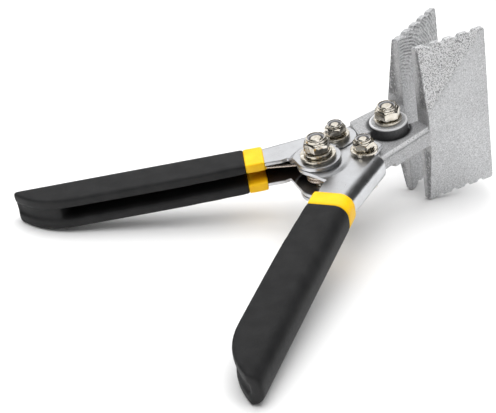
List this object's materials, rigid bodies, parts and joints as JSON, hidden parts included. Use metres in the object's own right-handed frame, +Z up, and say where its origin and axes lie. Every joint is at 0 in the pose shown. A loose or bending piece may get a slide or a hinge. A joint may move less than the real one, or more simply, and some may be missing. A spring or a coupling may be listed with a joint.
{
  "type": "hand seamer",
  "caption": "Hand seamer: wide notched flat jaws folded by compound-action spring-opened handles, for bending sheet metal edges.",
  "frame": {"origin": "centre of the bounding box's base, with the tool lying open on a table on its blade corners and grip ends", "axes": "+X from the grips to the jaws, +Z up; the jaws' pivot bolt leans back by 11.5 degrees about Y, as the tool does when it lies"},
  "size_m": [0.1908, 0.175, 0.0814],
  "materials": {
    "casting": "cast, with a fine grain",
    "plated_sheet": "plated, satin",
    "fastener_steel": "plated, polished",
    "spring_wire": "drawn wire",
    "black_vinyl": "matt dipped vinyl",
    "yellow_vinyl": "satin dipped vinyl",
    "nylon": "matt"
  },
  "bodies": {
    "handle_a": {"handle_a": "plated_sheet", "grip_a": "black_vinyl", "band_a": "yellow_vinyl", "hinge_bolt": "fastener_steel", "hinge_washer_bottom": "fastener_steel", "hinge_washer_top": "fastener_steel", "hinge_lock_nut": "fastener_steel", "hinge_nut_insert": "nylon", "hinge_washer_wide": "fastener_steel", "torsion_spring": "spring_wire", "link_bolt_a": "fastener_steel", "link_washer_bottom_a": "fastener_steel", "link_washer_top_a": "fastener_steel", "link_lock_nut_a": "fastener_steel", "link_nut_insert_a": "nylon"},
    "handle_b": {"handle_b": "plated_sheet", "grip_b": "black_vinyl", "band_b": "yellow_vinyl", "link_bolt_b": "fastener_steel", "link_washer_bottom_b": "fastener_steel", "link_washer_top_b": "fastener_steel", "link_lock_nut_b": "fastener_steel", "link_nut_insert_b": "nylon"},
    "jaw_a": {"jaw_a": "casting", "jaw_bolt": "fastener_steel", "jaw_washer_bottom": "fastener_steel", "jaw_washer_top": "fastener_steel", "jaw_lock_nut": "fastener_steel", "jaw_nut_insert": "nylon"},
    "jaw_b": {"jaw_b": "casting"}
  },
  "joints": [
    {"name": "handle_hinge", "type": "hinge", "parent": "handle_a", "child": "handle_b", "pos_m": [0.00608, 0, 0.02745], "axis": [0.1989, 0, -0.98], "range_deg": [0, 46], "stiffness_Nm_per_rad": 0.3, "springref_deg": -22.92, "deforming": ["torsion_spring"]},
    {"name": "jaw_a_pivot", "type": "hinge", "parent": "handle_a", "child": "jaw_a", "pos_m": [0.02288, 0.00902, 0.03086], "axis": [0.1989, 0, -0.98], "range_deg": [0, 40.1]},
    {"name": "jaw_b_pivot", "type": "hinge", "parent": "handle_b", "child": "jaw_b", "pos_m": [0.02288, -0.00902, 0.03086], "axis": [-0.1989, 0, 0.98], "range_deg": [0, 40.1]}
  ],
  "couplings": [
    {"joint": "jaw_a_pivot", "follows": "handle_hinge", "ratio": 0.86968},
    {"joint": "jaw_b_pivot", "follows": "handle_hinge", "ratio": 0.86968}
  ]
}
